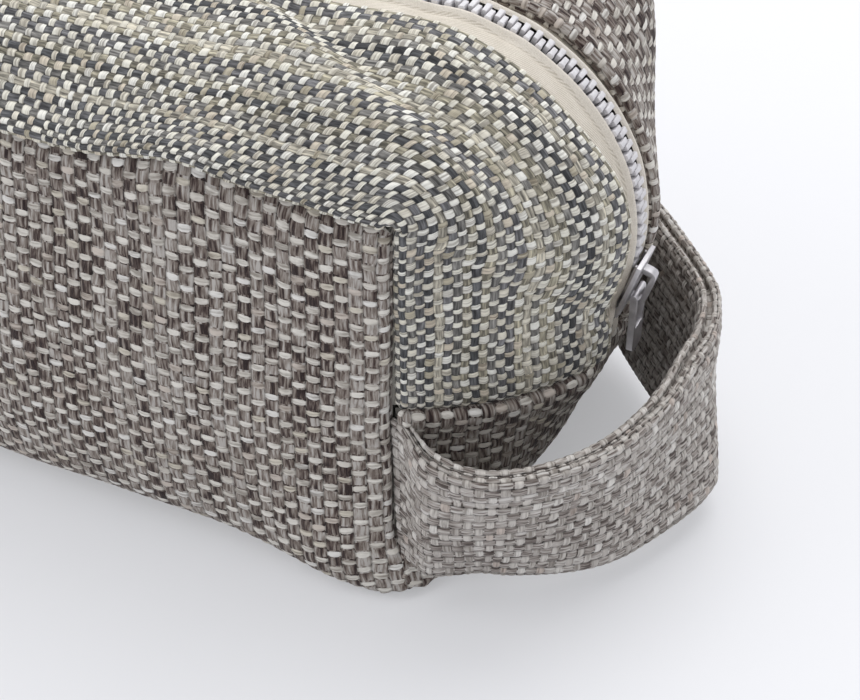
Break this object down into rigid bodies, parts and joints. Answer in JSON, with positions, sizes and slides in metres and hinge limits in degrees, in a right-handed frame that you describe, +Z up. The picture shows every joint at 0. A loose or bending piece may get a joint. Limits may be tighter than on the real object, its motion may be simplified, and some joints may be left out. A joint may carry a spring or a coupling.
{
  "type": "boxed zip pouch with wrist loop",
  "caption": "Boxed fabric zip pouch with boxed corners, a zipper over the top and down the end, and a folded wrist loop sewn into one end.",
  "frame": {"origin": "middle of the underside of the pouch and its loop, on the surface it stands on", "axes": "+X along the pouch towards the end with the wrist loop, +Y from the front with the accent panel to the back, +Z up"},
  "size_m": [0.285, 0.1022, 0.0998],
  "materials": {
    "grey_weave": "coarse plain weave of taupe and grey-brown yarns with ivory cross yarns",
    "accent_weave": "coarse plain weave of ivory cross yarns over slate blue, grey and khaki striped yarns",
    "lining_cloth": "plain light cotton lining",
    "zipper_tape": "beige twill zipper tape",
    "zipper_teeth": "pale moulded plastic",
    "slider_metal": "satin nickel-plated die casting"
  },
  "bodies": {
    "bag": {"accent_panel": "accent_weave", "front_panel": "grey_weave", "back_panel": "grey_weave", "front_lining": "lining_cloth", "back_lining": "lining_cloth", "front_tape": "zipper_tape", "back_tape": "zipper_tape", "front_teeth": "zipper_teeth", "back_teeth": "zipper_teeth", "bottom_stop": "zipper_teeth", "front_top_stop": "zipper_teeth", "back_top_stop": "zipper_teeth"},
    "slider": {"slider_body": "slider_metal"},
    "pull": {"pull_tab": "slider_metal"},
    "loop": {"wrist_loop": "grey_weave"}
  },
  "joints": [
    {"name": "slider_travel", "type": "hinge", "parent": "bag", "child": "slider", "pos_m": [0.08649, -0.00004, 0.061], "axis": [0, -1, 0], "range_deg": [0, 98], "deforming": ["front_teeth", "back_teeth"]},
    {"name": "pull_swing", "type": "hinge", "parent": "slider", "child": "pull", "pos_m": [0.12475, -0.00004, 0.04805], "axis": [0, -1, 0], "range_deg": [-14, 150]},
    {"name": "loop_swing", "type": "hinge", "parent": "bag", "child": "loop", "pos_m": [0.09629, -0.00004, 0.023], "axis": [0, -1, 0], "range_deg": [-35, 12], "stiffness_Nm_per_rad": 0.15, "deforming": ["wrist_loop"]}
  ]
}
